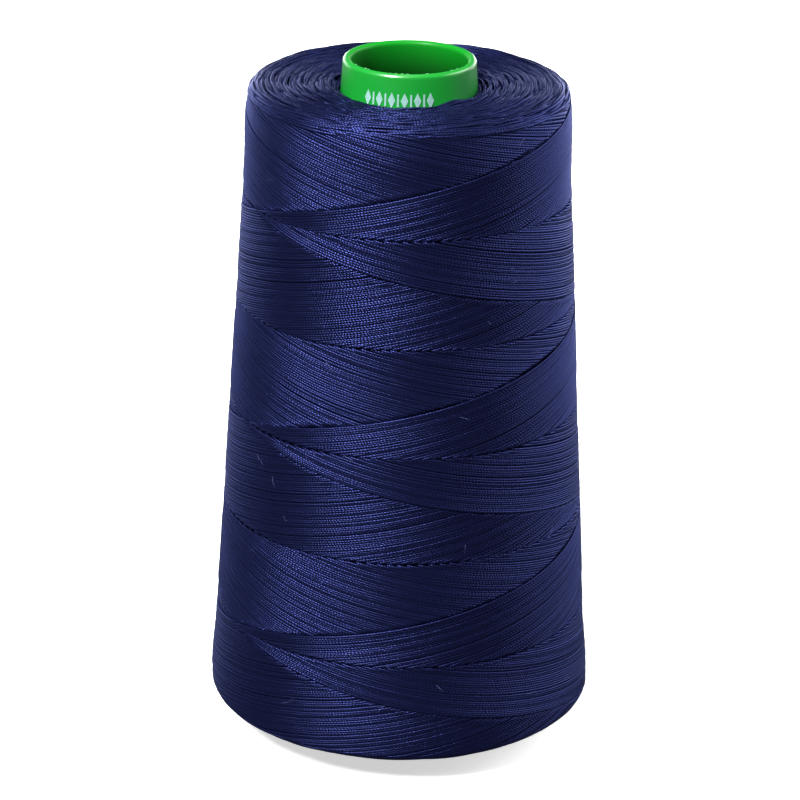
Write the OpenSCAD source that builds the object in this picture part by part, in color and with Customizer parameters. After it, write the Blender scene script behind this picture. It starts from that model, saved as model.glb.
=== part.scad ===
// Cone of sewing thread: a cross-wound thread package on a tapered plastic core.
// Millimetres. +Z runs up the core's axis, and the origin is the centre of the core's base rim.

/* [Core] */
// Height of the core from base rim to nose rim
core_h = 125; // [110:1:150]
// Outside diameter of the core at the nose rim
nose_d = 23.4; // [22:0.1:28]
// Half angle of the core's taper, in degrees
core_half_angle = 3.5; // [3:0.1:4.5]
// Thickness of the core's wall
core_wall = 1.4; // [1.2:0.1:1.8]
// Diameter of the straight bore in the nose
nose_bore_d = 20.4; // [19:0.1:20.6]
// Length of the straight bore in the nose
nose_bore_len = 12; // [8:1:20]
// Diameter of the straight seat in the base
base_bore_d = 35; // [34.6:0.1:35.4]
// Length of the straight seat in the base
base_bore_len = 7; // [5:1:7]
// How far the bead round the base rim stands out
base_bead = 0.5; // [0.2:0.1:0.8]
// Width of the notch that catches the thread's first end
catch_notch_w = 1.1; // [0.8:0.1:1.6]
// Height of the notch that catches the thread's first end
catch_notch_h = 2.6; // [2:0.1:3.4]
// Bearing of the notch round the base, in degrees from +X
catch_notch_bearing = 60; // [0:5:360]

/* [Thread package] */
// Height of the package's lower end above the base rim
package_z = 4.3; // [3.8:0.1:6]
// Height of the package
package_h = 116.2; // [100:0.1:118]
// Diameter of the package's lower end, before its edge is rounded
package_base_d = 70; // [50:1:80]
// Diameter of the package's upper end, before its edge is rounded
package_top_d = 56; // [44:1:66]
// How far in the lower edge's rounding reaches
base_round_w = 6.6; // [3:0.1:8]
// How far up the lower edge's rounding reaches
base_round_h = 2; // [1:0.1:4]
// Radius of the upper edge's rounding
top_round = 2.1; // [1:0.1:4]
// How far the package swells just above its lower edge, where the thread turns back
base_swell = 0.25; // [0:0.05:0.5]
// How far the package swells just below its upper edge, where the thread turns back
top_swell = 0.35; // [0:0.05:0.5]

/* [First turns] */
// Thickness of the thread
thread_d = 0.45; // [0.25:0.01:0.5]
// Height of the lowest of the first turns above the base rim
tail_z = 1.5; // [1.4:0.1:2]
// Number of first turns
tail_turns = 4; // [3:1:5]

/* [Label] */
// Height of the paper strip
label_h = 20; // [12:1:30]
// Height of the strip's lower edge above the base rim
label_z = 10; // [9:1:20]
// Thickness of the paper
label_t = 0.15; // [0.1:0.01:0.2]
// How far the strip reaches round the inside of the skirt, in degrees
label_sweep = 200; // [120:10:320]

/* [Hidden] */
$fn = 144;
arc_steps = 8;
eps = 0.5;
bead_h = 1;
nose_chamfer = 1;
base_lead_in = 0.4;
nose_r = nose_d / 2;
nose_bore_r = nose_bore_d / 2;
base_bore_r = base_bore_d / 2;
lip_r = (nose_r - nose_bore_r) / 2;
package_top_z = package_z + package_h;
package_base_r = package_base_d / 2;
package_top_r = package_top_d / 2;
tail_h = tail_turns * thread_d;
swell_spread = 5;
swell_inset = 6;
side_steps = 24;

// Outside and inside radius of the core's tapered wall at height z
function core_r(z) = nose_r + (core_h - z) * tan(core_half_angle);
function core_inner_r(z) = core_r(z) - core_wall;

// Points along a quarter ellipse, from angle a0 to a1, centred at c with half axes w and h
function arc(c, w, h, a0, a1) =
    [for (i = [0 : arc_steps]) let (a = a0 + (a1 - a0) * i / arc_steps) c + [w * cos(a), h * sin(a)]];

// Bell-shaped swelling centred at height z0
function bell(z, z0) = exp(-pow((z - z0) / swell_spread, 2));

// Package radius at height z, with the swellings where the thread turns back
function package_r(z) =
    package_base_r + (package_top_r - package_base_r) * (z - package_z) / package_h
    + base_swell * bell(z, package_z + swell_inset)
    + top_swell * bell(z, package_top_z - swell_inset);

// Tapered shell with a rounded nose lip, a bead round the base, and a straight bore at each end
module cone_core() {
    lip_z = core_h - lip_r;
    bore_z = core_h - lip_r - nose_bore_len;
    color("limegreen")
    difference() {
        rotate_extrude()
            polygon(concat(
                [[core_r(0) + base_bead - base_lead_in, 0],
                 [core_r(0) + base_bead, base_lead_in],
                 [core_r(0) + base_bead, bead_h - base_lead_in],
                 [core_r(bead_h), bead_h]],
                arc([nose_r - lip_r, lip_z], lip_r, lip_r, 0, 180),
                [[nose_bore_r, bore_z],
                 [core_inner_r(bore_z - nose_chamfer), bore_z - nose_chamfer],
                 [core_inner_r(base_bore_len + base_lead_in), base_bore_len + base_lead_in],
                 [base_bore_r, base_bore_len],
                 [base_bore_r, base_lead_in],
                 [base_bore_r + base_lead_in, 0]]));
        catch_notch();
    }
}

// Slot up from the base rim through the wall
module catch_notch() {
    rotate([0, 0, catch_notch_bearing])
        translate([base_bore_r - 2, -catch_notch_w / 2, -eps])
            cube([8, catch_notch_w, catch_notch_h + eps]);
}

// Body of cross-wound thread, from the core's wall to the package's outer surface
module wound_thread() {
    side_z0 = package_z + base_round_h;
    side_z1 = package_top_z - top_round;
    color("midnightblue")
    rotate_extrude()
        polygon(concat(
            [[core_r(package_z), package_z]],
            arc([package_r(side_z0) - base_round_w, side_z0], base_round_w, base_round_h, -90, 0),
            [for (i = [1 : side_steps - 1])
                let (z = side_z0 + (side_z1 - side_z0) * i / side_steps) [package_r(z), z]],
            arc([package_r(side_z1) - top_round, side_z1], top_round, top_round, 0, 90),
            [[core_r(package_top_z), package_top_z]]));
}

// Close-wound band of the thread's first turns, on the bare core below the package
module start_tail() {
    color("midnightblue")
    rotate_extrude()
        polygon([[core_r(tail_z), tail_z],
                 [core_r(tail_z) + thread_d, tail_z],
                 [core_r(tail_z + tail_h) + thread_d, tail_z + tail_h],
                 [core_r(tail_z + tail_h), tail_z + tail_h]]);
}

// Paper strip stuck round the inside of the skirt
module shade_label() {
    top_z = label_z + label_h;
    color("ivory")
    rotate([0, 0, 90 - label_sweep / 2])
        rotate_extrude(angle = label_sweep)
            polygon([[core_inner_r(label_z) - label_t, label_z],
                     [core_inner_r(label_z), label_z],
                     [core_inner_r(top_z), top_z],
                     [core_inner_r(top_z) - label_t, top_z]]);
}

cone_core();
wound_thread();
start_tail();
shade_label();
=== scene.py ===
"""Looks for a cone of sewing thread: the turns that show, the plastic core, its label and its printed row."""

import math

import bpy
import numpy as np
from mathutils import Matrix, Vector


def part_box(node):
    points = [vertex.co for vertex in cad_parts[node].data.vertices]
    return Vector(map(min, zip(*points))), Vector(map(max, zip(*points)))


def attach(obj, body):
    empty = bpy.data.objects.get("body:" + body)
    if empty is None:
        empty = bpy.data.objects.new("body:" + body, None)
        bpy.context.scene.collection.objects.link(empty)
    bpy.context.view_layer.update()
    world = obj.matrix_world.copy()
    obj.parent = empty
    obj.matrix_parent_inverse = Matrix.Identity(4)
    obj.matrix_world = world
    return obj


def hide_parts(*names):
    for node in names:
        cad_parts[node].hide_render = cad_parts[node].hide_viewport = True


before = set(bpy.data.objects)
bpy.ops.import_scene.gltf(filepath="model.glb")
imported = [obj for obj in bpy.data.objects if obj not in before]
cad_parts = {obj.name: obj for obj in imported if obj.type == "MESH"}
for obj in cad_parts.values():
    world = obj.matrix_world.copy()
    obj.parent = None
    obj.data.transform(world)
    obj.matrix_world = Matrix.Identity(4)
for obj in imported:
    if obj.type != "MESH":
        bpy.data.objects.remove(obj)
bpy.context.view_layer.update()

MM = 0.001
RNG = np.random.default_rng(40)

# ---------------------------------------------------------------- sizes, in millimetres
package_low, package_high = (np.array(c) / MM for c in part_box("wound_thread"))
_, core_high = (np.array(c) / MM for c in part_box("cone_core"))

# package: its ends and radii, the rounding of its lower and upper edges, and how its side swells by them
PACKAGE_Z0, PACKAGE_Z1 = package_low[2], package_high[2]
PACKAGE_R0 = package_high[0]
PACKAGE_R1 = 0.8 * PACKAGE_R0
BASE_ROUND_W, BASE_ROUND_H = 6.6, 2.0
TOP_ROUND = 2.1
HEEL_Z, SHOULDER_Z = PACKAGE_Z0 + BASE_ROUND_H, PACKAGE_Z1 - TOP_ROUND
BASE_SWELL, TOP_SWELL, SWELL_SPREAD, SWELL_INSET = 0.25, 0.35, 5.0, 6.0

# core
CORE_H = core_high[2]
CORE_TAPER = math.tan(math.radians(3.5))
CORE_WALL = 1.4
NOSE_R = 11.7
NOSE_BORE_R = 10.2
BASE_BORE_R = 17.5

# thread
THREAD_W, THREAD_H = 0.27, 0.19  # half width and half height of a strand
PLY_LAY = 1.15  # length of one turn of its two plies
STEP = 1.2  # between two rings of its tube
SECTION = np.radians([0, 45, 90, 135, 180, 270])  # corners of a ring, from one side over the top
END_TAPER = 0.35

# lay of the winding; a strand's phase is how far round it lies behind the newest one. Angles in degrees
STRANDS = 98  # that lie side by side in one pitch
LAY_PITCH = 39.0  # climb in one turn
PER_DEGREE = LAY_PITCH / 360
TURNS_PER_STROKE = 3
TURN_ROUND = 12.0  # taken to turn back at either end
RISING_EDGE_Z, FALLING_EDGE_Z = 69.6, 54.5  # where the newest strand crosses the front, going up and down
LAY_WOBBLE = 8.0
PASS_START = 114.0  # phase at which the newest pass began
MEAN_R = 31.5  # of the side

# height of a strand over the outline
HIDDEN = -0.52  # under a newer strand
CULL = -0.40  # below this its tube is cut
CROSS_OVER = 3.6  # half the phase it takes to sink
BAND_RISE, BAND_RISE_AT, BAND_RISE_SPREAD = 0.07, 5, 6  # by the edge of a band that lies over others
NEWEST_RISE, NEWEST_SPREAD = 0.06, 6.0
OLDER_PASS_DROP = 0.10
LIFT_WAVER = 0.02

# shade of the strands: its random spread on the side and in the older turns; going up, a little painted shade,
# and going down, a painted highlight
SIDE_SHADE_SPREAD, OLD_SHADE_SPREAD = 0.05, 0.07
RISING_PAINTED_SHADE, FALLING_PAINTED_HIGHLIGHT = 0.98, 1.10

# places where strands part: how many, and how many strands they push aside
GAP_LINES = 9
GAP_REACH = 5.5

# older turns: half width and half height, distance between rows at the faces and at the edges, the rows'
# greatest slope, and the outline lengths from which they cover the side
OLD_W, OLD_H = 0.28, 0.22
FACE_PITCH, EDGE_PITCH = 0.45, 0.42
ROW_SLOPE = 0.010
TOP_EDGE_FROM, BASE_EDGE_FROM = 101, 24

# relief of the end faces: how far round the front reaches, widths of the sinking by the core in front,
# elsewhere and at the base, and the heap on the top face
FRONT_REACH = 55
DISH_FRONT, DISH_ROUND, DISH_BASE, DISH_BASE_DEPTH = 7.0, 1.7, 1.5, 0.6
HEAP_H, HEAP_AT, HEAP_SWEEP, HEAP_WIDTH = 0.7, 42, 14, 2.2

# bulk of the package: how far it lies inside the outline, more so by the core, and the painted shade that
# darkens it
BULK_INSET = 0.62
BULK_TOP_DIP, BULK_TOP_REACH = 1.4, 9.0
BULK_BASE_DIP, BULK_BASE_REACH = 0.8, 2.5
BULK_PAINTED_SHADE = 0.45

# side pieces, equal in length; with fewer, a mesh would be too big to export whole
SIDE_PIECES = 9

# first turns on the bare core, and the direction of the notch they come out of
NOTCH_AT = 150.0
TAIL_TURNS = 4
TAIL_W, TAIL_H = 0.225, 0.2
TAIL_Z, TAIL_RISE, TAIL_RUN_OUT = 1.65, 1.5, 60

# printed row on the nose: diamonds and bars in turn, by half their width and height, in thin raised ink
MARKS, MARK_FROM, MARK_TO, MARK_Z = 11, -36.0, 18.0, 120.5
DIAMOND_W, DIAMOND_H = 0.62, 1.35
BAR_W, BAR_H = 0.16, 1.1
INK_PROUD, INK_SUNK = 0.03, -0.05
MARK_COLUMNS = 8

# flash nicks and lint hairs: how many, half their thickness, and where they may lie
FLASH_NICKS, FLASH_W, FLASH_H, FLASH_FROM, FLASH_TO = 12, 0.045, 0.04, -75, 60
LINT_HAIRS, LINT_W, LINT_FROM, LINT_TO = 90, 0.014, 10, 122

# paper label, pressed a little into the wall, and the stripe printed on it
LABEL_SWEEP, LABEL_Z, LABEL_H, LABEL_T = 200.0, 10.0, 20.0, 0.15
LABEL_WAVE, LABEL_PRESS = 0.03, 0.02
LABEL_COLUMNS, LABEL_ROWS = 100, 12
STRIPE_Z, STRIPE_HALF = LABEL_Z + 0.75 * LABEL_H, 1.2

# thread's twist: sharpness and depth of the grooves between plies, the painted shade that darkens them, and
# the fibre on top
GROOVE_POWER, PLY_BUMP, GROOVE_PAINTED_SHADE = 0.85, 0.042, 0.34
FIBRE_GRAIN, FIBRE_RELIEF = (2.6, 26.0, 1.0), 0.35

# plastic: depth over which painted shade darkens the nose bore; from where, over what depth and how much of
# that painted shade eases off lower down
BORE_SHADE_DEPTH, SHADE_EASE_FROM, SHADE_EASE_DEPTH, SHADE_EASE_BACK = 6.5, 9.0, 25.0, 0.65
MOTTLE = 0.08
POLISH, POLISH_LOST = 0.9, 0.85  # outside, and how much less inside

# ---------------------------------------------------------------- colours, lights and camera
NAVY = (0.0120, 0.0157, 0.068)
SHEEN_TINT = (0.52, 0.57, 1.0, 1)
GREEN = (0.0050, 0.195, 0.0185)
# painted shade, taken off GREEN inside the core and, more so, down the nose bore
INSIDE_PAINTED_SHADE = (-0.0020, -0.010, -0.0080)
BORE_PAINTED_SHADE = (-0.0025, -0.165, -0.009)
INK = (0.19, 0.34, 0.31)
FLASH = (0.22, 0.50, 0.27)
LINT = (0.10, 0.12, 0.30)
PAPER = (0.80, 0.79, 0.73)
STRIPE = (0.02, 0.025, 0.12, 1)

# surroundings as the object sees them; the camera sees both as white
FLOOR_BOUNCE = 0.09
SKY_LIGHT = 0.045

# lights: azimuth and elevation in degrees, distance, width and height in metres, power in watts
SOFTBOXES = {
    "key": (-39, 50, 0.9, 0.13, 0.40, 23),
    "top": (-12, 80, 0.9, 0.25, 0.25, 4.3),
    "right": (104, 26, 0.9, 0.7, 0.6, 9),
    "rim_left": (-150, 4, 0.9, 0.8, 0.30, 4),
    "rim_right": (148, 4, 0.9, 0.8, 0.30, 4),
}
LIGHTS_AIM = Vector((0, 0, 0.06))

# floor's glow for the camera: its least, what it gains, and from where and over what distance in metres
GLOW, GLOW_GAIN, GLOW_FROM, GLOW_OVER = 0.60, 0.45, 0.10, 0.12

# camera: aim and distance in millimetres, focal length and framing in picture widths
CAMERA_AIM = Vector((0, 0, 62.4))
CAMERA_ELEVATION, CAMERA_ROLL = math.radians(21.66), math.radians(1.02)
CAMERA_DISTANCE = 589.0
FOCAL_LENGTH = 4.0625
FRAME_RIGHT, FRAME_UP = 0.004375, 0.01125


def core_r(z):
    """Outside radius of the core's tapered wall at height z."""
    return NOSE_R + (CORE_H - z) * CORE_TAPER


# ---------------------------------------------------------------- the package's outline
def bell(z, z0):
    """A swelling of height 1 at z0."""
    return np.exp(-(((z - z0) / SWELL_SPREAD) ** 2))


def package_r(z):
    """Radius of the package's side at height z, with its swellings where the thread turns back."""
    side = PACKAGE_R0 + (PACKAGE_R1 - PACKAGE_R0) * (z - PACKAGE_Z0) / (PACKAGE_Z1 - PACKAGE_Z0)
    base_swell = BASE_SWELL * bell(z, PACKAGE_Z0 + SWELL_INSET)
    top_swell = TOP_SWELL * bell(z, PACKAGE_Z1 - SWELL_INSET)
    return side + base_swell + top_swell


def package_outline():
    """Radius and height along the outline: from the core out under the package, up its side and in on top."""
    low_r = package_r(HEEL_Z) - BASE_ROUND_W
    high_r = package_r(SHOULDER_Z) - TOP_ROUND
    heel = np.linspace(-math.pi / 2, 0, 40)
    shoulder = np.linspace(0, math.pi / 2, 40)
    z = np.linspace(HEEL_Z, SHOULDER_Z, 400)[1:-1]
    under_r = np.linspace(core_r(PACKAGE_Z0), low_r, 40)[:-1]
    over_r = np.linspace(high_r, core_r(PACKAGE_Z1), 60)[1:]
    r = [
        under_r,
        low_r + BASE_ROUND_W * np.cos(heel),
        package_r(z),
        high_r + TOP_ROUND * np.cos(shoulder),
        over_r,
    ]
    h = [
        np.full(len(under_r), PACKAGE_Z0),
        HEEL_Z + BASE_ROUND_H * np.sin(heel),
        z,
        SHOULDER_Z + TOP_ROUND * np.sin(shoulder),
        np.full(len(over_r), PACKAGE_Z1),
    ]
    return np.concatenate(r), np.concatenate(h)


class Outline:
    """The package's outline by its own length m, which equals the height at mid-height."""

    def __init__(self):
        self.r, self.z = package_outline()
        along = np.concatenate([[0], np.cumsum(np.hypot(np.diff(self.r), np.diff(self.z)))])
        middle = (PACKAGE_Z0 + PACKAGE_Z1) / 2
        side = np.argmin(np.abs(self.z - middle))
        self.m = along - along[side] + self.z[side]
        dr, dz = np.gradient(self.r, self.m), np.gradient(self.z, self.m)
        self.nr, self.nz = dz / np.hypot(dr, dz), -dr / np.hypot(dr, dz)

    def at(self, m):
        """Radius, height and outward direction at outline length m."""
        r, z, nr, nz = (np.interp(m, self.m, v) for v in (self.r, self.z, self.nr, self.nz))
        size = np.hypot(nr, nz)
        return r, z, nr / size, nz / size


OUTLINE = Outline()
OUTLINE_START, OUTLINE_END = OUTLINE.m[0], OUTLINE.m[-1]


# ---------------------------------------------------------------- thread paths
class Run:
    """One visible stretch of thread: centre line, the way out along it, shade, and where its twist starts."""

    def __init__(self, points, outward, shade, start):
        self.points, self.outward, self.start = points, outward, start
        self.shade = np.broadcast_to(shade, len(points))


def place(theta, m, lift):
    """Points and outward directions at azimuth theta, in degrees from front to +X, and outline length m."""
    r, z, nr, nz = OUTLINE.at(m)
    s, c = np.sin(np.radians(theta)), -np.cos(np.radians(theta))
    outward = np.stack([nr * s, nr * c, nz], -1)
    return np.stack([r * s, r * c, z], -1) + outward * lift[:, None], outward


def unwobble(lay):
    """Azimuth whose lay angle, azimuth + LAY_WOBBLE * sin(azimuth), is lay."""
    theta = lay.copy()
    for _ in range(12):
        theta = lay - LAY_WOBBLE * np.sin(np.radians(theta))
    return theta


def smooth(x):
    x = np.clip(x, 0, 1)
    return x * x * (3 - 2 * x)


class Wander:
    """Sideways wander of each strand along its way, in degrees of phase.

    Neighbours drift together in slow waves, each strand has a small wave of its own, and at a few
    places the strands part for some way and leave a dark line. The first of those places is where
    the newest pass began.
    """

    def __init__(self):
        waves = 6
        self.across = RNG.uniform(0.04, 0.30, waves) * RNG.choice([-1, 1], waves)
        self.along = RNG.integers(1, 6, waves) / 6.0
        self.phase = RNG.uniform(0, 2 * math.pi, waves)
        self.size = RNG.uniform(0.3, 0.9, waves)
        self.offset = RNG.normal(0, 0.45, STRANDS)
        self.own_size = RNG.uniform(0.1, 0.4, STRANDS)
        self.own_phase = RNG.uniform(0, 2 * math.pi, STRANDS)
        self.gap_at = np.concatenate([[PASS_START / 360 * STRANDS], RNG.uniform(3, STRANDS - 6, GAP_LINES)])
        self.gap_size = np.concatenate([[2.6], RNG.uniform(1.0, 2.2, GAP_LINES)])
        self.gap_phase = RNG.uniform(0, 2 * math.pi, GAP_LINES + 1)
        self.gap_bias = np.concatenate([[0.9], RNG.uniform(-0.3, 0.6, GAP_LINES)])

    def at(self, i, lay):
        x = np.radians(lay)
        waves = zip(self.size, self.across, self.along, self.phase)
        drift = sum(size * np.sin(across * i + along * x + phase) for size, across, along, phase in waves)
        drift = drift + self.offset[i] + self.own_size[i] * np.sin(x / 3 + self.own_phase[i])
        for at, size, phase, bias in zip(self.gap_at, self.gap_size, self.gap_phase, self.gap_bias):
            away = i + 0.5 - at
            if abs(away) < GAP_REACH:
                opening = np.clip(np.sin(x / 2 + phase) + bias, 0, 1)
                drift = drift + math.copysign(size / 2 * (1 - abs(away) / GAP_REACH), away) * opening
        return drift


def strand_phases():
    """Phase of each strand, 0 on the newest."""
    return (np.arange(STRANDS) + 0.5) * 360 / STRANDS


def strand_lift(i, phase, lay, other):
    """Height of a strand over the outline: proud where newer than the strand that crosses it, else sunk."""
    shown = other > phase
    distance = np.where(shown, np.minimum(other - phase, 360 - other), -np.minimum(phase - other, other))
    lift = HIDDEN * (1 - smooth((distance + CROSS_OVER) / (2 * CROSS_OVER)))
    lift = lift + BAND_RISE * np.exp(-(((distance - BAND_RISE_AT) / BAND_RISE_SPREAD) ** 2))
    lift = lift + NEWEST_RISE * math.exp(-phase / NEWEST_SPREAD)
    if phase > PASS_START:
        lift = lift - OLDER_PASS_DROP
    return lift + LIFT_WAVER * np.sin(np.radians(lay * 1.7 + i * 77.0))


def strand_runs(i, phase, wander):
    """Visible stretches of one closed double stroke, up the package and down again."""
    top_m = (RISING_EDGE_Z + FALLING_EDGE_Z + TURNS_PER_STROKE * LAY_PITCH) / 2
    bottom_m = top_m - TURNS_PER_STROKE * LAY_PITCH
    half = 360 * TURNS_PER_STROKE
    count = int(2 * half / 360 * 2 * math.pi * MEAN_R / STEP)
    x = np.linspace(-half, half, count)
    top_round = TURN_ROUND * RNG.uniform(0.7, 1.2)
    base_round = TURN_ROUND * RNG.uniform(0.7, 1.2)
    from_top = top_m - PER_DEGREE * np.hypot(x, top_round)
    from_base = bottom_m + PER_DEGREE * np.hypot(half - np.abs(x), base_round)
    m = np.where(np.abs(x) < half / 2, from_top, from_base)
    lay = x + phase + (top_m - RISING_EDGE_Z) / PER_DEGREE
    m_ideal = top_m - PER_DEGREE * np.abs(x)
    rising = x < 0
    other = np.where(
        rising,
        (m_ideal - FALLING_EDGE_Z) / PER_DEGREE + lay,
        (RISING_EDGE_Z - m_ideal) / PER_DEGREE + lay,
    ) % 360
    lift = strand_lift(i, phase, lay, other)
    sideways = np.where(rising, -1.0, 1.0) * wander.at(i, lay) * PER_DEGREE
    points, outward = place(unwobble(lay), m + sideways, lift - THREAD_H)
    shade = float(np.clip(RNG.normal(1.0, SIDE_SHADE_SPREAD), 0.85, 1.15))
    # strands going down get a painted highlight, those going up a little painted shade
    return visible_runs(points, outward, lift > CULL, shade * np.where(rising, RISING_PAINTED_SHADE, FALLING_PAINTED_HIGHLIGHT))


def visible_runs(points, outward, keep, shade):
    """The path's stretches where keep holds, each one sample longer at both ends."""
    keep = np.convolve(keep, np.ones(3), "same") > 0
    edges = np.flatnonzero(np.diff(np.concatenate([[0], keep.astype(int), [0]])))
    return [
        Run(points[a:b], outward[a:b], shade[a:b], RNG.uniform())
        for a, b in zip(edges[::2], edges[1::2]) if b - a > 3
    ]


def side_runs():
    """Every visible stretch of the newest layers, strand by strand from the newest."""
    wander = Wander()
    rows = [strand_runs(i, phase, wander) for i, phase in enumerate(strand_phases())]
    return [run for row in rows for run in row]


def arc_rows(first_m, last_m, pitch, spacing, reach, dive, lifts, relief=None):
    """Rows of turn-round arcs of the older layers. Each arc sinks at both ends under its neighbours."""
    runs = []
    rows = int(abs(last_m - first_m) / pitch)
    for row in range(rows):
        row_m = first_m + (last_m - first_m) * (row + 0.5) / rows
        start = RNG.uniform(0, 360)
        for arc in range(int(360 / spacing)):
            m0 = row_m + RNG.normal(0, 0.3 * pitch)
            half = RNG.uniform(*reach)
            r = OUTLINE.at(np.array([m0]))[0]
            x = np.linspace(-half, half, max(7, int(math.radians(2 * half) * r[0] / STEP)))
            theta = start + (arc + RNG.uniform(-0.3, 0.3)) * spacing + x
            drop = dive * (np.hypot(x / half, 0.45) - 0.45)
            m = m0 + RNG.normal(0, ROW_SLOPE) * x
            lift = RNG.uniform(*lifts) - drop
            if relief is not None:
                lift = lift + relief(m, theta)
            points, outward = place(theta, m, lift - THREAD_H)
            shade = float(np.clip(RNG.normal(1.0, OLD_SHADE_SPREAD), 0.8, 1.2))
            runs.append(Run(points, outward, shade, RNG.uniform()))
    return runs


def top_relief(m, theta):
    """Height of the top face: it sinks gently to the core in front, steeply elsewhere, and has a heap."""
    gap = OUTLINE_END - m
    off = (theta + 180) % 360 - 180
    front = np.exp(-((off / FRONT_REACH) ** 4))
    dish = front * np.exp(-((gap / DISH_FRONT) ** 2)) + (1 - front) * np.exp(-((gap / DISH_ROUND) ** 2))
    heap = HEAP_H * np.exp(-(((off - HEAP_AT) / HEAP_SWEEP) ** 2)) * np.exp(-((gap / HEAP_WIDTH) ** 2))
    return heap - dish


def base_relief(m, theta):
    """Height of the base face, the same all round: it sinks by the core."""
    return -DISH_BASE_DEPTH * np.exp(-(((m - OUTLINE_START) / DISH_BASE) ** 2))


# ---------------------------------------------------------------- meshes
def new_object(name, mesh, material):
    mesh.materials.append(material)
    piece = bpy.data.objects.new(name, mesh)
    bpy.context.scene.collection.objects.link(piece)
    return piece


def new_piece(name, verts, faces, material):
    """A piece from corner points in millimetres."""
    mesh = bpy.data.meshes.new(name)
    mesh.from_pydata((np.asarray(verts) * MM).tolist(), [], faces)
    mesh.update()
    return new_object(name, mesh, material)


def tube_points(runs, half_w, half_h):
    """Corner points of tubes along the runs, a ring of len(SECTION) at each point, in metres."""
    points = np.concatenate([r.points for r in runs])
    outward = np.concatenate([r.outward for r in runs])
    tangent = np.concatenate([np.gradient(r.points, axis=0) for r in runs])
    tangent /= np.linalg.norm(tangent, axis=1, keepdims=True)
    across = np.cross(tangent, outward)
    across /= np.linalg.norm(across, axis=1, keepdims=True)
    up = np.cross(across, tangent)
    taper = np.concatenate([end_taper(len(r.points)) for r in runs])[:, None, None]
    ring = (
        np.cos(SECTION)[None, :, None] * half_w * across[:, None, :]
        + np.sin(SECTION)[None, :, None] * half_h * up[:, None, :]
    )
    return (points[:, None, :] + ring * taper).reshape(-1, 3) * MM


def end_taper(n):
    taper = np.ones(n)
    taper[[0, -1]] = END_TAPER
    return taper


def twist_along(run):
    """Turns of twist along a run, a little uneven as in spun cotton."""
    s = np.concatenate([[0], np.cumsum(np.linalg.norm(np.diff(run.points, axis=0), axis=1))])
    phase = 2 * math.pi * run.start * np.array([3.0, 7.0, 11.0])
    waver = sum(a * np.sin(s / w + p) for a, w, p in zip((0.30, 0.16, 0.09), (5.3, 2.1, 0.9), phase))
    return run.start + s / PLY_LAY + waver


def ply_uv(along, body):
    """Turns of twist along the tube as u, and the way round it as v, for each corner of each side face."""
    k = len(SECTION)
    v_lo = np.degrees(SECTION) / 360
    v_hi = np.append(v_lo[1:], 1.0)
    u0, u1 = np.repeat(along[body], k), np.repeat(along[body + 1], k)
    vl, vh = np.tile(v_lo, len(body)), np.tile(v_hi, len(body))
    corners = [(u0, vl), (u1, vl), (u1, vh), (u0, vh)]
    return np.stack([np.stack(c, -1) for c in corners], 1).reshape(-1, 2)


def strip_uv(steps):
    """A texture layout that unrolls the tubes into strips, one above another, for each side face's corners."""
    k = len(SECTION)
    columns = math.ceil(1.22 * math.sqrt(steps))
    rows = math.ceil(steps / columns) + 1
    col, row = np.arange(steps) % columns, np.arange(steps) // columns
    j = np.arange(k)
    lo = row[:, None] + 0.06 + 0.88 * j / k
    hi = row[:, None] + 0.06 + 0.88 * (j + 1) / k
    left = np.broadcast_to(col[:, None], lo.shape)
    corners = [(left, lo), (left + 1, lo), (left + 1, hi), (left, hi)]
    return np.stack([np.stack([u / columns, v / rows], -1) for u, v in corners], 2).reshape(-1, 2)


def thread_mesh(name, runs, material, half_w=THREAD_W, half_h=THREAD_H):
    """Closed tubes along the runs, joined in one mesh, with the twist's coordinates and a shade on each."""
    k = len(SECTION)
    verts = tube_points(runs, half_w, half_h)
    starts = np.cumsum([0] + [len(r.points) for r in runs])
    body = np.concatenate([np.arange(a, b - 1) for a, b in zip(starts[:-1], starts[1:])])
    j = np.arange(k)
    jn = (j + 1) % k
    sides = np.stack([
        body[:, None] * k + j, (body[:, None] + 1) * k + j,
        (body[:, None] + 1) * k + jn, body[:, None] * k + jn,
    ], -1).reshape(-1, 4)
    caps = np.concatenate([starts[:-1, None] * k + j, (starts[1:, None] - 1) * k + j[::-1]])
    loops = np.concatenate([sides.ravel(), caps.ravel()])
    totals = np.concatenate([np.full(len(sides), 4), np.full(len(caps), k)])
    mesh = bpy.data.meshes.new(name)
    mesh.vertices.add(len(verts))
    mesh.vertices.foreach_set("co", verts.ravel())
    mesh.loops.add(len(loops))
    mesh.loops.foreach_set("vertex_index", loops.astype(np.int32))
    mesh.polygons.add(len(totals))
    mesh.polygons.foreach_set("loop_start", (np.cumsum(totals) - totals).astype(np.int32))
    mesh.update(calc_edges=True)
    along = np.concatenate([twist_along(r) for r in runs])
    layouts = {"Ply": (ply_uv(along, body), 0.0), "OFBake": (strip_uv(len(body)), 0.9999)}
    for layer, (side_uv, cap_at) in layouts.items():
        cap_uv = np.full((len(caps) * k, 2), cap_at)
        mesh.uv_layers.new(name=layer).data.foreach_set("uv", np.concatenate([side_uv, cap_uv]).ravel())
    shade = np.concatenate([r.shade for r in runs])
    tone = mesh.attributes.new("shade", "FLOAT", "POINT")
    tone.data.foreach_set("value", np.repeat(shade, k).astype(np.float32))
    mesh.polygons.foreach_set("use_smooth", np.ones(len(totals), bool))
    mesh.validate()
    return new_object(name, mesh, material)


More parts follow.
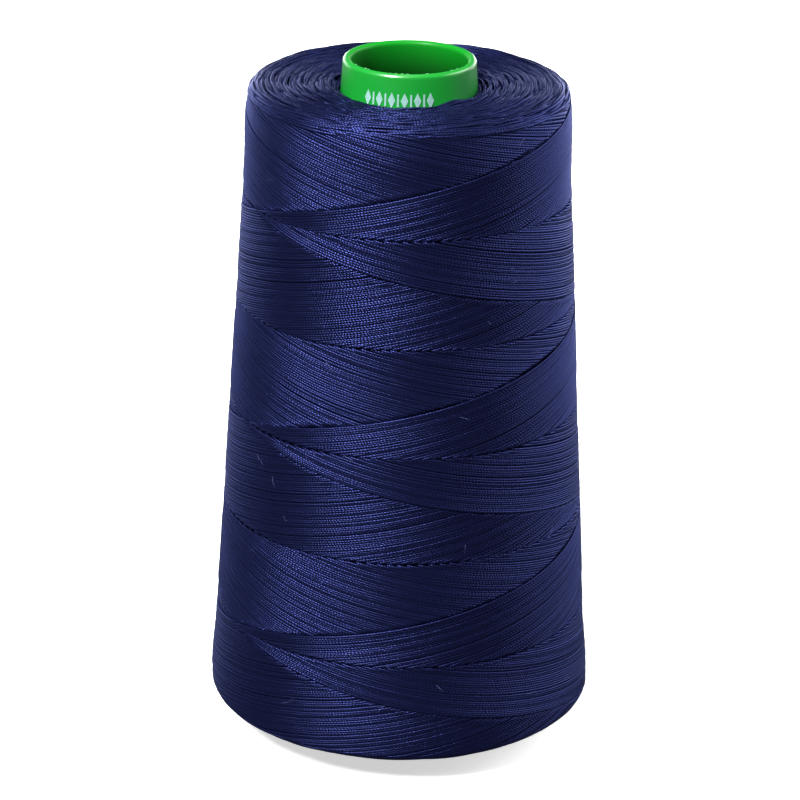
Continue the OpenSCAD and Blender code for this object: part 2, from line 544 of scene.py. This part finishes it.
def lathe(name, outline, material, segments):
    """A closed outline of (radius, height) points turned about the axis."""
    n = len(outline)
    a = np.arange(segments) * 2 * math.pi / segments
    verts = np.stack([
        outline[None, :, 0] * np.sin(a)[:, None],
        -outline[None, :, 0] * np.cos(a)[:, None],
        np.broadcast_to(outline[None, :, 1], (segments, n)),
    ], -1).reshape(-1, 3)
    faces = [
        (s * n + i, ((s + 1) % segments) * n + i, ((s + 1) % segments) * n + (i + 1) % n, s * n + (i + 1) % n)
        for s in range(segments) for i in range(n)
    ]
    piece = new_piece(name, verts, faces, material)
    piece.data.polygons.foreach_set("use_smooth", np.ones(len(faces), bool))
    piece.data.set_sharp_from_angle(angle=math.radians(40))
    return piece


# ---------------------------------------------------------------- materials
def new_material(name):
    material = bpy.data.materials.new(name)
    material.use_nodes = True
    tree = material.node_tree
    return material, tree, tree.nodes["Principled BSDF"]


def math_node(tree, operation, a, b=None, clamp=False):
    node = tree.nodes.new("ShaderNodeMath")
    node.operation = operation
    node.use_clamp = clamp
    for socket, value in zip(node.inputs, (a, b)):
        if value is None:
            continue
        if isinstance(value, (int, float)):
            socket.default_value = value
        else:
            tree.links.new(value, socket)
    return node.outputs[0]


def scaled(tree, vector, factor):
    """A colour times a factor, either of which may be a constant or a socket."""
    node = tree.nodes.new("ShaderNodeVectorMath")
    node.operation = "SCALE"
    if isinstance(vector, tuple):
        node.inputs[0].default_value = vector
    else:
        tree.links.new(vector, node.inputs[0])
    tree.links.new(factor, node.inputs["Scale"])
    return node.outputs[0]


def summed(tree, a, b):
    node = tree.nodes.new("ShaderNodeVectorMath")
    for socket, value in zip(node.inputs, (a, b)):
        if isinstance(value, tuple):
            socket.default_value = value
        else:
            tree.links.new(value, socket)
    return node.outputs[0]


def object_coordinates(tree):
    return tree.nodes.new("ShaderNodeTexCoord").outputs["Object"]


def split_xyz(tree, vector):
    node = tree.nodes.new("ShaderNodeSeparateXYZ")
    tree.links.new(vector, node.inputs[0])
    return node.outputs


def noise(tree, vector, scale, detail=2):
    node = tree.nodes.new("ShaderNodeTexNoise")
    node.inputs["Scale"].default_value = scale
    node.inputs["Detail"].default_value = detail
    tree.links.new(vector, node.inputs["Vector"])
    return node.outputs["Fac"]


def set_bump(tree, shader, height, depth, strength=1.0):
    """Bump of the given depth in millimetres."""
    node = tree.nodes.new("ShaderNodeBump")
    node.inputs["Strength"].default_value = strength
    node.inputs["Distance"].default_value = depth * MM
    tree.links.new(height, node.inputs["Height"])
    tree.links.new(node.outputs[0], shader.inputs["Normal"])


def thread_material():
    """Mercerised two-ply cotton: the plies' twist as bump and as painted shade in the grooves, with a tone of
    its own on each strand that carries painted light and shade too.

    The shader is partly metallic because the sheen of the dyed fibre is tinted.
    """
    material, tree, shader = new_material("navy_thread")
    ply = tree.nodes.new("ShaderNodeUVMap")
    ply.uv_map = "Ply"
    along, around, _ = split_xyz(tree, ply.outputs["UV"])
    turn = math_node(tree, "ADD", along, around)
    wave = math_node(tree, "SINE", math_node(tree, "MULTIPLY", turn, 2 * math.pi))
    height = math_node(tree, "POWER", math_node(tree, "ABSOLUTE", wave), GROOVE_POWER)
    lie = tree.nodes.new("ShaderNodeVectorMath")
    lie.operation = "MULTIPLY"
    lie.inputs[1].default_value = FIBRE_GRAIN
    tree.links.new(ply.outputs["UV"], lie.inputs[0])
    fibre = noise(tree, lie.outputs[0], 1.0)
    surface = math_node(tree, "ADD", height, math_node(tree, "MULTIPLY", fibre, FIBRE_RELIEF))
    set_bump(tree, shader, surface, PLY_BUMP)
    tone = tree.nodes.new("ShaderNodeAttribute")
    tone.attribute_name = "shade"
    # painted shade in the grooves between the plies
    groove_painted_shade = math_node(tree, "ADD", math_node(tree, "MULTIPLY", height, 1 - GROOVE_PAINTED_SHADE), GROOVE_PAINTED_SHADE)
    value = math_node(tree, "MULTIPLY", tone.outputs["Fac"], groove_painted_shade)
    tree.links.new(scaled(tree, NAVY, value), shader.inputs["Base Color"])
    shader.inputs["Metallic"].default_value = 0.75
    shader.inputs["Roughness"].default_value = 0.30
    shader.inputs["Specular IOR Level"].default_value = 0.2
    shader.inputs["Specular Tint"].default_value = SHEEN_TINT
    return material


def plastic_material():
    """Moulded polypropylene: polished and faintly mottled outside, matt inside, with painted shade inside that
    is deepest down the nose bore.
    """
    material, tree, shader = new_material("green_plastic")
    coords = object_coordinates(tree)
    x, y, z = (math_node(tree, "DIVIDE", socket, MM) for socket in split_xyz(tree, coords))
    squares = math_node(tree, "ADD", math_node(tree, "MULTIPLY", x, x), math_node(tree, "MULTIPLY", y, y))
    radius = math_node(tree, "SQRT", squares)
    depth = math_node(tree, "SUBTRACT", CORE_H, z)
    wall = math_node(tree, "ADD", math_node(tree, "MULTIPLY", depth, CORE_TAPER), NOSE_R - CORE_WALL / 2)
    inside = math_node(tree, "MULTIPLY", math_node(tree, "SUBTRACT", wall, radius), 3.0, clamp=True)
    # painted shade down the nose bore: it deepens below the nose, then partly eases off lower down
    bore_shade = math_node(tree, "DIVIDE", depth, BORE_SHADE_DEPTH, clamp=True)
    below = math_node(tree, "DIVIDE", math_node(tree, "SUBTRACT", depth, SHADE_EASE_FROM), SHADE_EASE_DEPTH, clamp=True)
    kept = math_node(tree, "SUBTRACT", 1.0, math_node(tree, "MULTIPLY", below, SHADE_EASE_BACK))
    bore_shade = math_node(tree, "MULTIPLY", math_node(tree, "POWER", bore_shade, 0.75), kept)
    painted_bore_shade = math_node(tree, "MULTIPLY", inside, bore_shade)
    mottle = noise(tree, coords, 140, detail=3)
    shade = math_node(tree, "ADD", math_node(tree, "MULTIPLY", mottle, MOTTLE), 1 - MOTTLE / 2)
    # painted shade added to the green inside the core
    painted_shade = summed(tree, scaled(tree, BORE_PAINTED_SHADE, painted_bore_shade), scaled(tree, INSIDE_PAINTED_SHADE, inside))
    colour = scaled(tree, summed(tree, GREEN, painted_shade), shade)
    tree.links.new(colour, shader.inputs["Base Color"])
    matt = math_node(tree, "ADD", math_node(tree, "MULTIPLY", mottle, MOTTLE), 0.45)
    tree.links.new(matt, shader.inputs["Roughness"])
    polish = math_node(tree, "SUBTRACT", POLISH, math_node(tree, "MULTIPLY", inside, POLISH_LOST))
    tree.links.new(polish, shader.inputs["Coat Weight"])
    shader.inputs["Coat Roughness"].default_value = 0.27
    shader.inputs["Specular IOR Level"].default_value = 0.08
    set_bump(tree, shader, noise(tree, coords, 900), 0.02, strength=0.25)
    return material


def speckled(name, colour, spread, scale, roughness, bump=0.0):
    """A matt material whose colour, and surface if bump is given, vary with a fine noise."""
    material, tree, shader = new_material(name)
    grain = noise(tree, object_coordinates(tree), scale, detail=4)
    shade = math_node(tree, "ADD", math_node(tree, "MULTIPLY", grain, spread), 1 - spread / 2)
    tone = scaled(tree, colour, shade)
    tree.links.new(tone, shader.inputs["Base Color"])
    shader.inputs["Roughness"].default_value = roughness
    if bump:
        set_bump(tree, shader, grain, bump)
    return material, tree, shader, tone


def paper_material():
    """Uncoated paper with fibre, and one plain navy stripe printed round it."""
    material, tree, shader, tone = speckled("label_paper", PAPER, 0.16, 1800, 0.85, bump=0.04)
    z = split_xyz(tree, object_coordinates(tree))["Z"]
    off = math_node(tree, "ABSOLUTE", math_node(tree, "SUBTRACT", z, STRIPE_Z * MM))
    paint = tree.nodes.new("ShaderNodeMix")
    paint.data_type = "RGBA"
    tree.links.new(math_node(tree, "LESS_THAN", off, STRIPE_HALF * MM), paint.inputs["Factor"])
    tree.links.new(tone, paint.inputs["A"])
    paint.inputs["B"].default_value = STRIPE
    tree.links.new(paint.outputs["Result"], shader.inputs["Base Color"])
    return material


THREAD_MATERIAL = thread_material()


# ---------------------------------------------------------------- pieces
def add_thread(name, runs, half_w=THREAD_W, half_h=THREAD_H, stands_for="wound_thread"):
    piece = thread_mesh(name, runs, THREAD_MATERIAL, half_w, half_h)
    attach(piece, "root")
    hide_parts(stands_for)


def add_side_threads():
    runs = side_runs()
    ends = np.cumsum([len(r.points) for r in runs])
    group = np.minimum((ends - 1) * SIDE_PIECES // ends[-1], SIDE_PIECES - 1)
    for g in range(SIDE_PIECES):
        add_thread(f"side_thread_{g + 1}", [r for r, at in zip(runs, group) if at == g])


def add_older_turns():
    """The layers under the newest: the end faces, and what shows through at both edges of the side."""
    edge = dict(pitch=EDGE_PITCH, spacing=45, reach=(32, 50), dive=0.25, lifts=(-0.38, -0.26))
    face = dict(pitch=FACE_PITCH, dive=0.40)
    top_face = dict(face, spacing=14, reach=(9, 17), lifts=(-0.26, 0.14), relief=top_relief)
    base_face = dict(face, spacing=18, reach=(12, 22), lifts=(-0.22, 0.08), relief=base_relief)
    for name, first_m, last_m, rows in (
        ("top_face_thread", SHOULDER_Z + 0.2, OUTLINE_END - 0.1, top_face),
        ("top_edge_thread", TOP_EDGE_FROM, SHOULDER_Z + 0.4, edge),
        ("base_edge_thread", BASE_EDGE_FROM, HEEL_Z - 0.8, edge),
        ("base_face_thread", HEEL_Z - 0.6, OUTLINE_START + 0.1, base_face),
    ):
        add_thread(name, arc_rows(first_m, last_m, **rows), OLD_W, OLD_H)


def add_underlay():
    """The bulk of the package under its visible turns, darkened with painted shade."""
    m = np.linspace(OUTLINE_START, OUTLINE_END, 150)
    top_dip = BULK_TOP_DIP * np.exp(-((m - OUTLINE_END) / BULK_TOP_REACH) ** 2)
    base_dip = BULK_BASE_DIP * np.exp(-((m - OUTLINE_START) / BULK_BASE_REACH) ** 2)
    inset = BULK_INSET + top_dip + base_dip
    r, z, nr, nz = OUTLINE.at(m)
    surface = np.stack([r - inset * nr, z - inset * nz], -1)
    bore = [[core_r(PACKAGE_Z1) + 0.05, PACKAGE_Z1 - 3], [core_r(PACKAGE_Z0) + 0.05, PACKAGE_Z0 + 3]]
    piece = lathe("inner_layers", np.concatenate([surface, bore]), THREAD_MATERIAL, 120)
    mesh = piece.data
    co = np.empty(len(mesh.vertices) * 3)
    mesh.vertices.foreach_get("co", co)
    x, y, z = co.reshape(-1, 3).T / MM
    index = np.empty(len(mesh.loops), np.int32)
    mesh.loops.foreach_get("vertex_index", index)
    along, around = np.arctan2(x, -y) * 30 / PLY_LAY, z + np.hypot(x, y)
    ply = mesh.uv_layers.new(name="Ply")
    ply.data.foreach_set("uv", np.stack([along[index], around[index]], -1).ravel())
    # painted shade: the bulk is darker than the visible turns
    tone = mesh.attributes.new("shade", "FLOAT", "POINT")
    tone.data.foreach_set("value", np.full(len(mesh.vertices), BULK_PAINTED_SHADE, np.float32))
    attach(piece, "root")
    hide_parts("wound_thread")


def add_start_tail():
    """The thread's first end: out through the base notch, round the bare core, and up under the package."""
    round_end = 360 * TAIL_TURNS
    turn = np.linspace(0, round_end + TAIL_RUN_OUT, 60 * TAIL_TURNS + 10)
    on_core = TAIL_Z + TAIL_RISE * turn / round_end
    run_out = TAIL_Z + TAIL_RISE * (1 + (turn - round_end) / TAIL_RUN_OUT)
    z = np.where(turn < round_end, on_core, run_out)
    theta = np.radians(np.concatenate([[NOTCH_AT] * 3, NOTCH_AT + turn[1:]]))
    z = np.concatenate([[TAIL_Z + 0.05, TAIL_Z + 0.03, TAIL_Z], z[1:]])
    r = core_r(z) + TAIL_H
    r[:2] = BASE_BORE_R + 0.2, BASE_BORE_R + 1.0
    outward = np.stack([np.sin(theta), -np.cos(theta), 0 * theta], -1)
    points = outward * r[:, None] + np.array([0, 0, 1]) * z[:, None]
    outward[:3] = 0, 0, 1
    add_thread("first_turns", [Run(points, outward, 1.0, 0.2)], TAIL_W, TAIL_H, "start_tail")


def add_core():
    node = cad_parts["cone_core"]
    node.data.materials.clear()
    node.data.materials.append(plastic_material())


def add_printed_mark():
    """A plain row of diamonds and bars printed round the nose, partly hidden by the thread."""
    verts, faces = [], []
    for n in range(MARKS):
        middle = math.radians(MARK_FROM + (MARK_TO - MARK_FROM) * n / (MARKS - 1))
        diamond = n % 2 == 0
        half = DIAMOND_W if diamond else BAR_W
        first = len(verts)
        for i in range(MARK_COLUMNS + 1):
            along = -1 + 2 * i / MARK_COLUMNS
            tall = DIAMOND_H * (1 - abs(along)) + 0.03 if diamond else BAR_H
            theta = middle + along * half / NOSE_R
            for dz, proud in ((tall, INK_PROUD), (-tall, INK_PROUD), (-tall, INK_SUNK), (tall, INK_SUNK)):
                z = MARK_Z + dz
                r = core_r(z) + proud
                verts.append((r * math.sin(theta), -r * math.cos(theta), z))
        for i in range(MARK_COLUMNS):
            a, b = first + 4 * i, first + 4 * (i + 1)
            faces += [(a + j, a + (j + 1) % 4, b + (j + 1) % 4, b + j) for j in range(4)]
        ends = (3, 2, 1, 0), [4 * MARK_COLUMNS + j for j in range(4)]
        faces += [tuple(first + j for j in end) for end in ends]
    ink = speckled("pale_ink", INK, 0.5, 1500, 0.5)[0]
    piece = new_piece("nose_mark", verts, faces, ink)
    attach(piece, "root")


def add_flash():
    """Moulding flash: pale nicks left on the nose bore's edge."""
    runs = []
    for _ in range(FLASH_NICKS):
        middle = RNG.uniform(FLASH_FROM, FLASH_TO)
        half = RNG.uniform(0.6, 2.2)
        theta = np.radians(np.linspace(middle - half, middle + half, 7))
        outward = np.stack([-0.37 * np.sin(theta), 0.37 * np.cos(theta), 0 * theta + 0.93], -1)
        r = NOSE_BORE_R + 0.43 + RNG.normal(0, 0.03, 7)
        z = CORE_H - 0.06 + RNG.normal(0, 0.03, 7)
        runs.append(Run(np.stack([r * np.sin(theta), -r * np.cos(theta), z], -1), outward, 1.0, 0.0))
    flash = speckled("plastic_flash", FLASH, 0.4, 2500, 0.4)[0]
    piece = thread_mesh("nose_flash", runs, flash, FLASH_W, FLASH_H)
    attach(piece, "root")


def add_label():
    """Paper strip round the inside of the skirt: two skins and the edges between them."""
    verts, faces = [], []
    for i in range(LABEL_COLUMNS + 1):
        theta = math.radians(180 + LABEL_SWEEP * (i / LABEL_COLUMNS - 0.5))
        for j in range(LABEL_ROWS + 1):
            z = LABEL_Z + LABEL_H * j / LABEL_ROWS
            wave = LABEL_WAVE * math.sin(theta * 9) * math.sin(math.pi * j / LABEL_ROWS)
            wall = core_r(z) - CORE_WALL
            for r in (wall + LABEL_PRESS, wall - LABEL_T - wave - LABEL_WAVE):
                verts.append((r * math.sin(theta), -r * math.cos(theta), z))

    def at(i, j, side):
        return 2 * (i * (LABEL_ROWS + 1) + j) + side

    for i in range(LABEL_COLUMNS):
        for j in range(LABEL_ROWS):
            faces.append((at(i, j, 0), at(i + 1, j, 0), at(i + 1, j + 1, 0), at(i, j + 1, 0)))
            faces.append((at(i, j, 1), at(i, j + 1, 1), at(i + 1, j + 1, 1), at(i + 1, j, 1)))
        faces.append((at(i, 0, 0), at(i, 0, 1), at(i + 1, 0, 1), at(i + 1, 0, 0)))
        top = LABEL_ROWS
        faces.append((at(i, top, 0), at(i + 1, top, 0), at(i + 1, top, 1), at(i, top, 1)))
    for j in range(LABEL_ROWS):
        last = LABEL_COLUMNS
        faces.append((at(0, j, 0), at(0, j + 1, 0), at(0, j + 1, 1), at(0, j, 1)))
        faces.append((at(last, j, 0), at(last, j, 1), at(last, j + 1, 1), at(last, j + 1, 0)))
    piece = new_piece("paper_label", verts, faces, paper_material())
    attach(piece, "root")
    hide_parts("shade_label")


def add_lint():
    """Loose fibre ends standing off the thread."""
    runs = []
    t = np.linspace(0, 1, 9)
    for _ in range(LINT_HAIRS):
        theta0, m0 = RNG.uniform(-180, 180), RNG.uniform(LINT_FROM, LINT_TO)
        bend, lean = RNG.normal(0, 0.7, 2)
        length = RNG.uniform(0.8, 2.6)
        theta = theta0 + np.degrees(length * t * math.cos(lean) / 30)
        m = m0 + length * (t * math.sin(lean) + 0.4 * bend * t * t)
        points, outward = place(theta, m, 0.02 + 0.35 * np.sin(math.pi * t) * RNG.uniform(0.3, 1))
        runs.append(Run(points, outward, 1.0, 0.0))
    fibre = speckled("lint_fibre", LINT, 0.6, 900, 0.8)[0]
    piece = thread_mesh("lint", runs, fibre, LINT_W, LINT_W)
    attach(piece, "root")


# ---------------------------------------------------------------- camera, light and floor
def add_camera():
    """The photo's own viewpoint: from the front, a little above, through a long lens."""
    back = Vector((0, -math.cos(CAMERA_ELEVATION), math.sin(CAMERA_ELEVATION)))
    place_mm = CAMERA_AIM + back * CAMERA_DISTANCE
    right = Vector((1, 0, 0))
    up = back.cross(right)
    picture = CAMERA_DISTANCE / FOCAL_LENGTH
    target = CAMERA_AIM - right * (FRAME_RIGHT * picture) - up * (FRAME_UP * picture)
    data = bpy.data.cameras.new("camera")
    data.lens = FOCAL_LENGTH * data.sensor_width
    data.clip_start, data.clip_end = 0.01, 100
    camera = bpy.data.objects.new("camera", data)
    turn = (target - place_mm).to_track_quat("-Z", "Y").to_matrix().to_4x4()
    camera.matrix_world = Matrix.Translation(place_mm * MM) @ turn @ Matrix.Rotation(CAMERA_ROLL, 4, "Z")
    bpy.context.scene.collection.objects.link(camera)
    bpy.context.scene.camera = camera


def add_softbox(name, azimuth, elevation, distance, width, height, power):
    """A rectangular light that faces LIGHTS_AIM."""
    a, e = math.radians(azimuth), math.radians(elevation)
    out = Vector((math.sin(a) * math.cos(e), -math.cos(a) * math.cos(e), math.sin(e)))
    data = bpy.data.lights.new(name, "AREA")
    data.shape = "RECTANGLE"
    data.size, data.size_y = width, height
    data.energy = power
    light = bpy.data.objects.new(name, data)
    light.location = LIGHTS_AIM + out * distance
    light.rotation_mode = "QUATERNION"
    light.rotation_quaternion = (-out).to_track_quat("-Z", "Y")
    bpy.context.scene.collection.objects.link(light)


def floor_material():
    """White to the camera, whiter still away from the object, and a dim grey to everything else."""
    material, tree, shader = new_material("floor_white")
    shader.inputs["Base Color"].default_value = (0.9, 0.9, 0.9, 1)
    shader.inputs["Roughness"].default_value = 1.0
    shader.inputs["Specular IOR Level"].default_value = 0.0
    shader.inputs["Emission Color"].default_value = (1, 1, 1, 1)
    distance = tree.nodes.new("ShaderNodeVectorMath")
    distance.operation = "LENGTH"
    tree.links.new(object_coordinates(tree), distance.inputs[0])
    away = math_node(tree, "SUBTRACT", distance.outputs["Value"], GLOW_FROM)
    away = math_node(tree, "DIVIDE", away, GLOW_OVER, clamp=True)
    glow = math_node(tree, "ADD", math_node(tree, "MULTIPLY", away, GLOW_GAIN), GLOW)
    tree.links.new(glow, shader.inputs["Emission Strength"])
    dim = tree.nodes.new("ShaderNodeBsdfDiffuse")
    dim.inputs["Color"].default_value = (FLOOR_BOUNCE, FLOOR_BOUNCE, FLOOR_BOUNCE, 1)
    path = tree.nodes.new("ShaderNodeLightPath")
    mix = tree.nodes.new("ShaderNodeMixShader")
    tree.links.new(path.outputs["Is Camera Ray"], mix.inputs["Fac"])
    tree.links.new(dim.outputs[0], mix.inputs[1])
    tree.links.new(shader.outputs[0], mix.inputs[2])
    tree.links.new(mix.outputs[0], tree.nodes["Material Output"].inputs["Surface"])
    return material


def add_floor():
    """A floor 12 m square under the object."""
    s = 6.0
    mesh = bpy.data.meshes.new("floor")
    mesh.from_pydata([(-s, -s, 0), (s, -s, 0), (s, s, 0), (-s, s, 0)], [], [(0, 1, 2, 3)])
    floor = new_object("floor", mesh, floor_material())


def add_world():
    """A white background to the camera, which hardly lights the object."""
    world = bpy.data.worlds.new("world")
    bpy.context.scene.world = world
    world.use_nodes = True
    tree = world.node_tree
    sky = tree.nodes["Background"]
    sky.inputs["Color"].default_value = (1, 1, 1, 1)
    path = tree.nodes.new("ShaderNodeLightPath")
    seen = math_node(tree, "MULTIPLY", path.outputs["Is Camera Ray"], 1.0 - SKY_LIGHT)
    tree.links.new(math_node(tree, "ADD", seen, SKY_LIGHT), sky.inputs["Strength"])


add_camera()
add_side_threads()
add_older_turns()
add_underlay()
add_start_tail()
add_core()
add_printed_mark()
add_flash()
add_label()
add_lint()
add_floor()
add_world()
for name, settings in SOFTBOXES.items():
    add_softbox(name, *settings)
bpy.context.scene.view_settings.view_transform = "Standard"
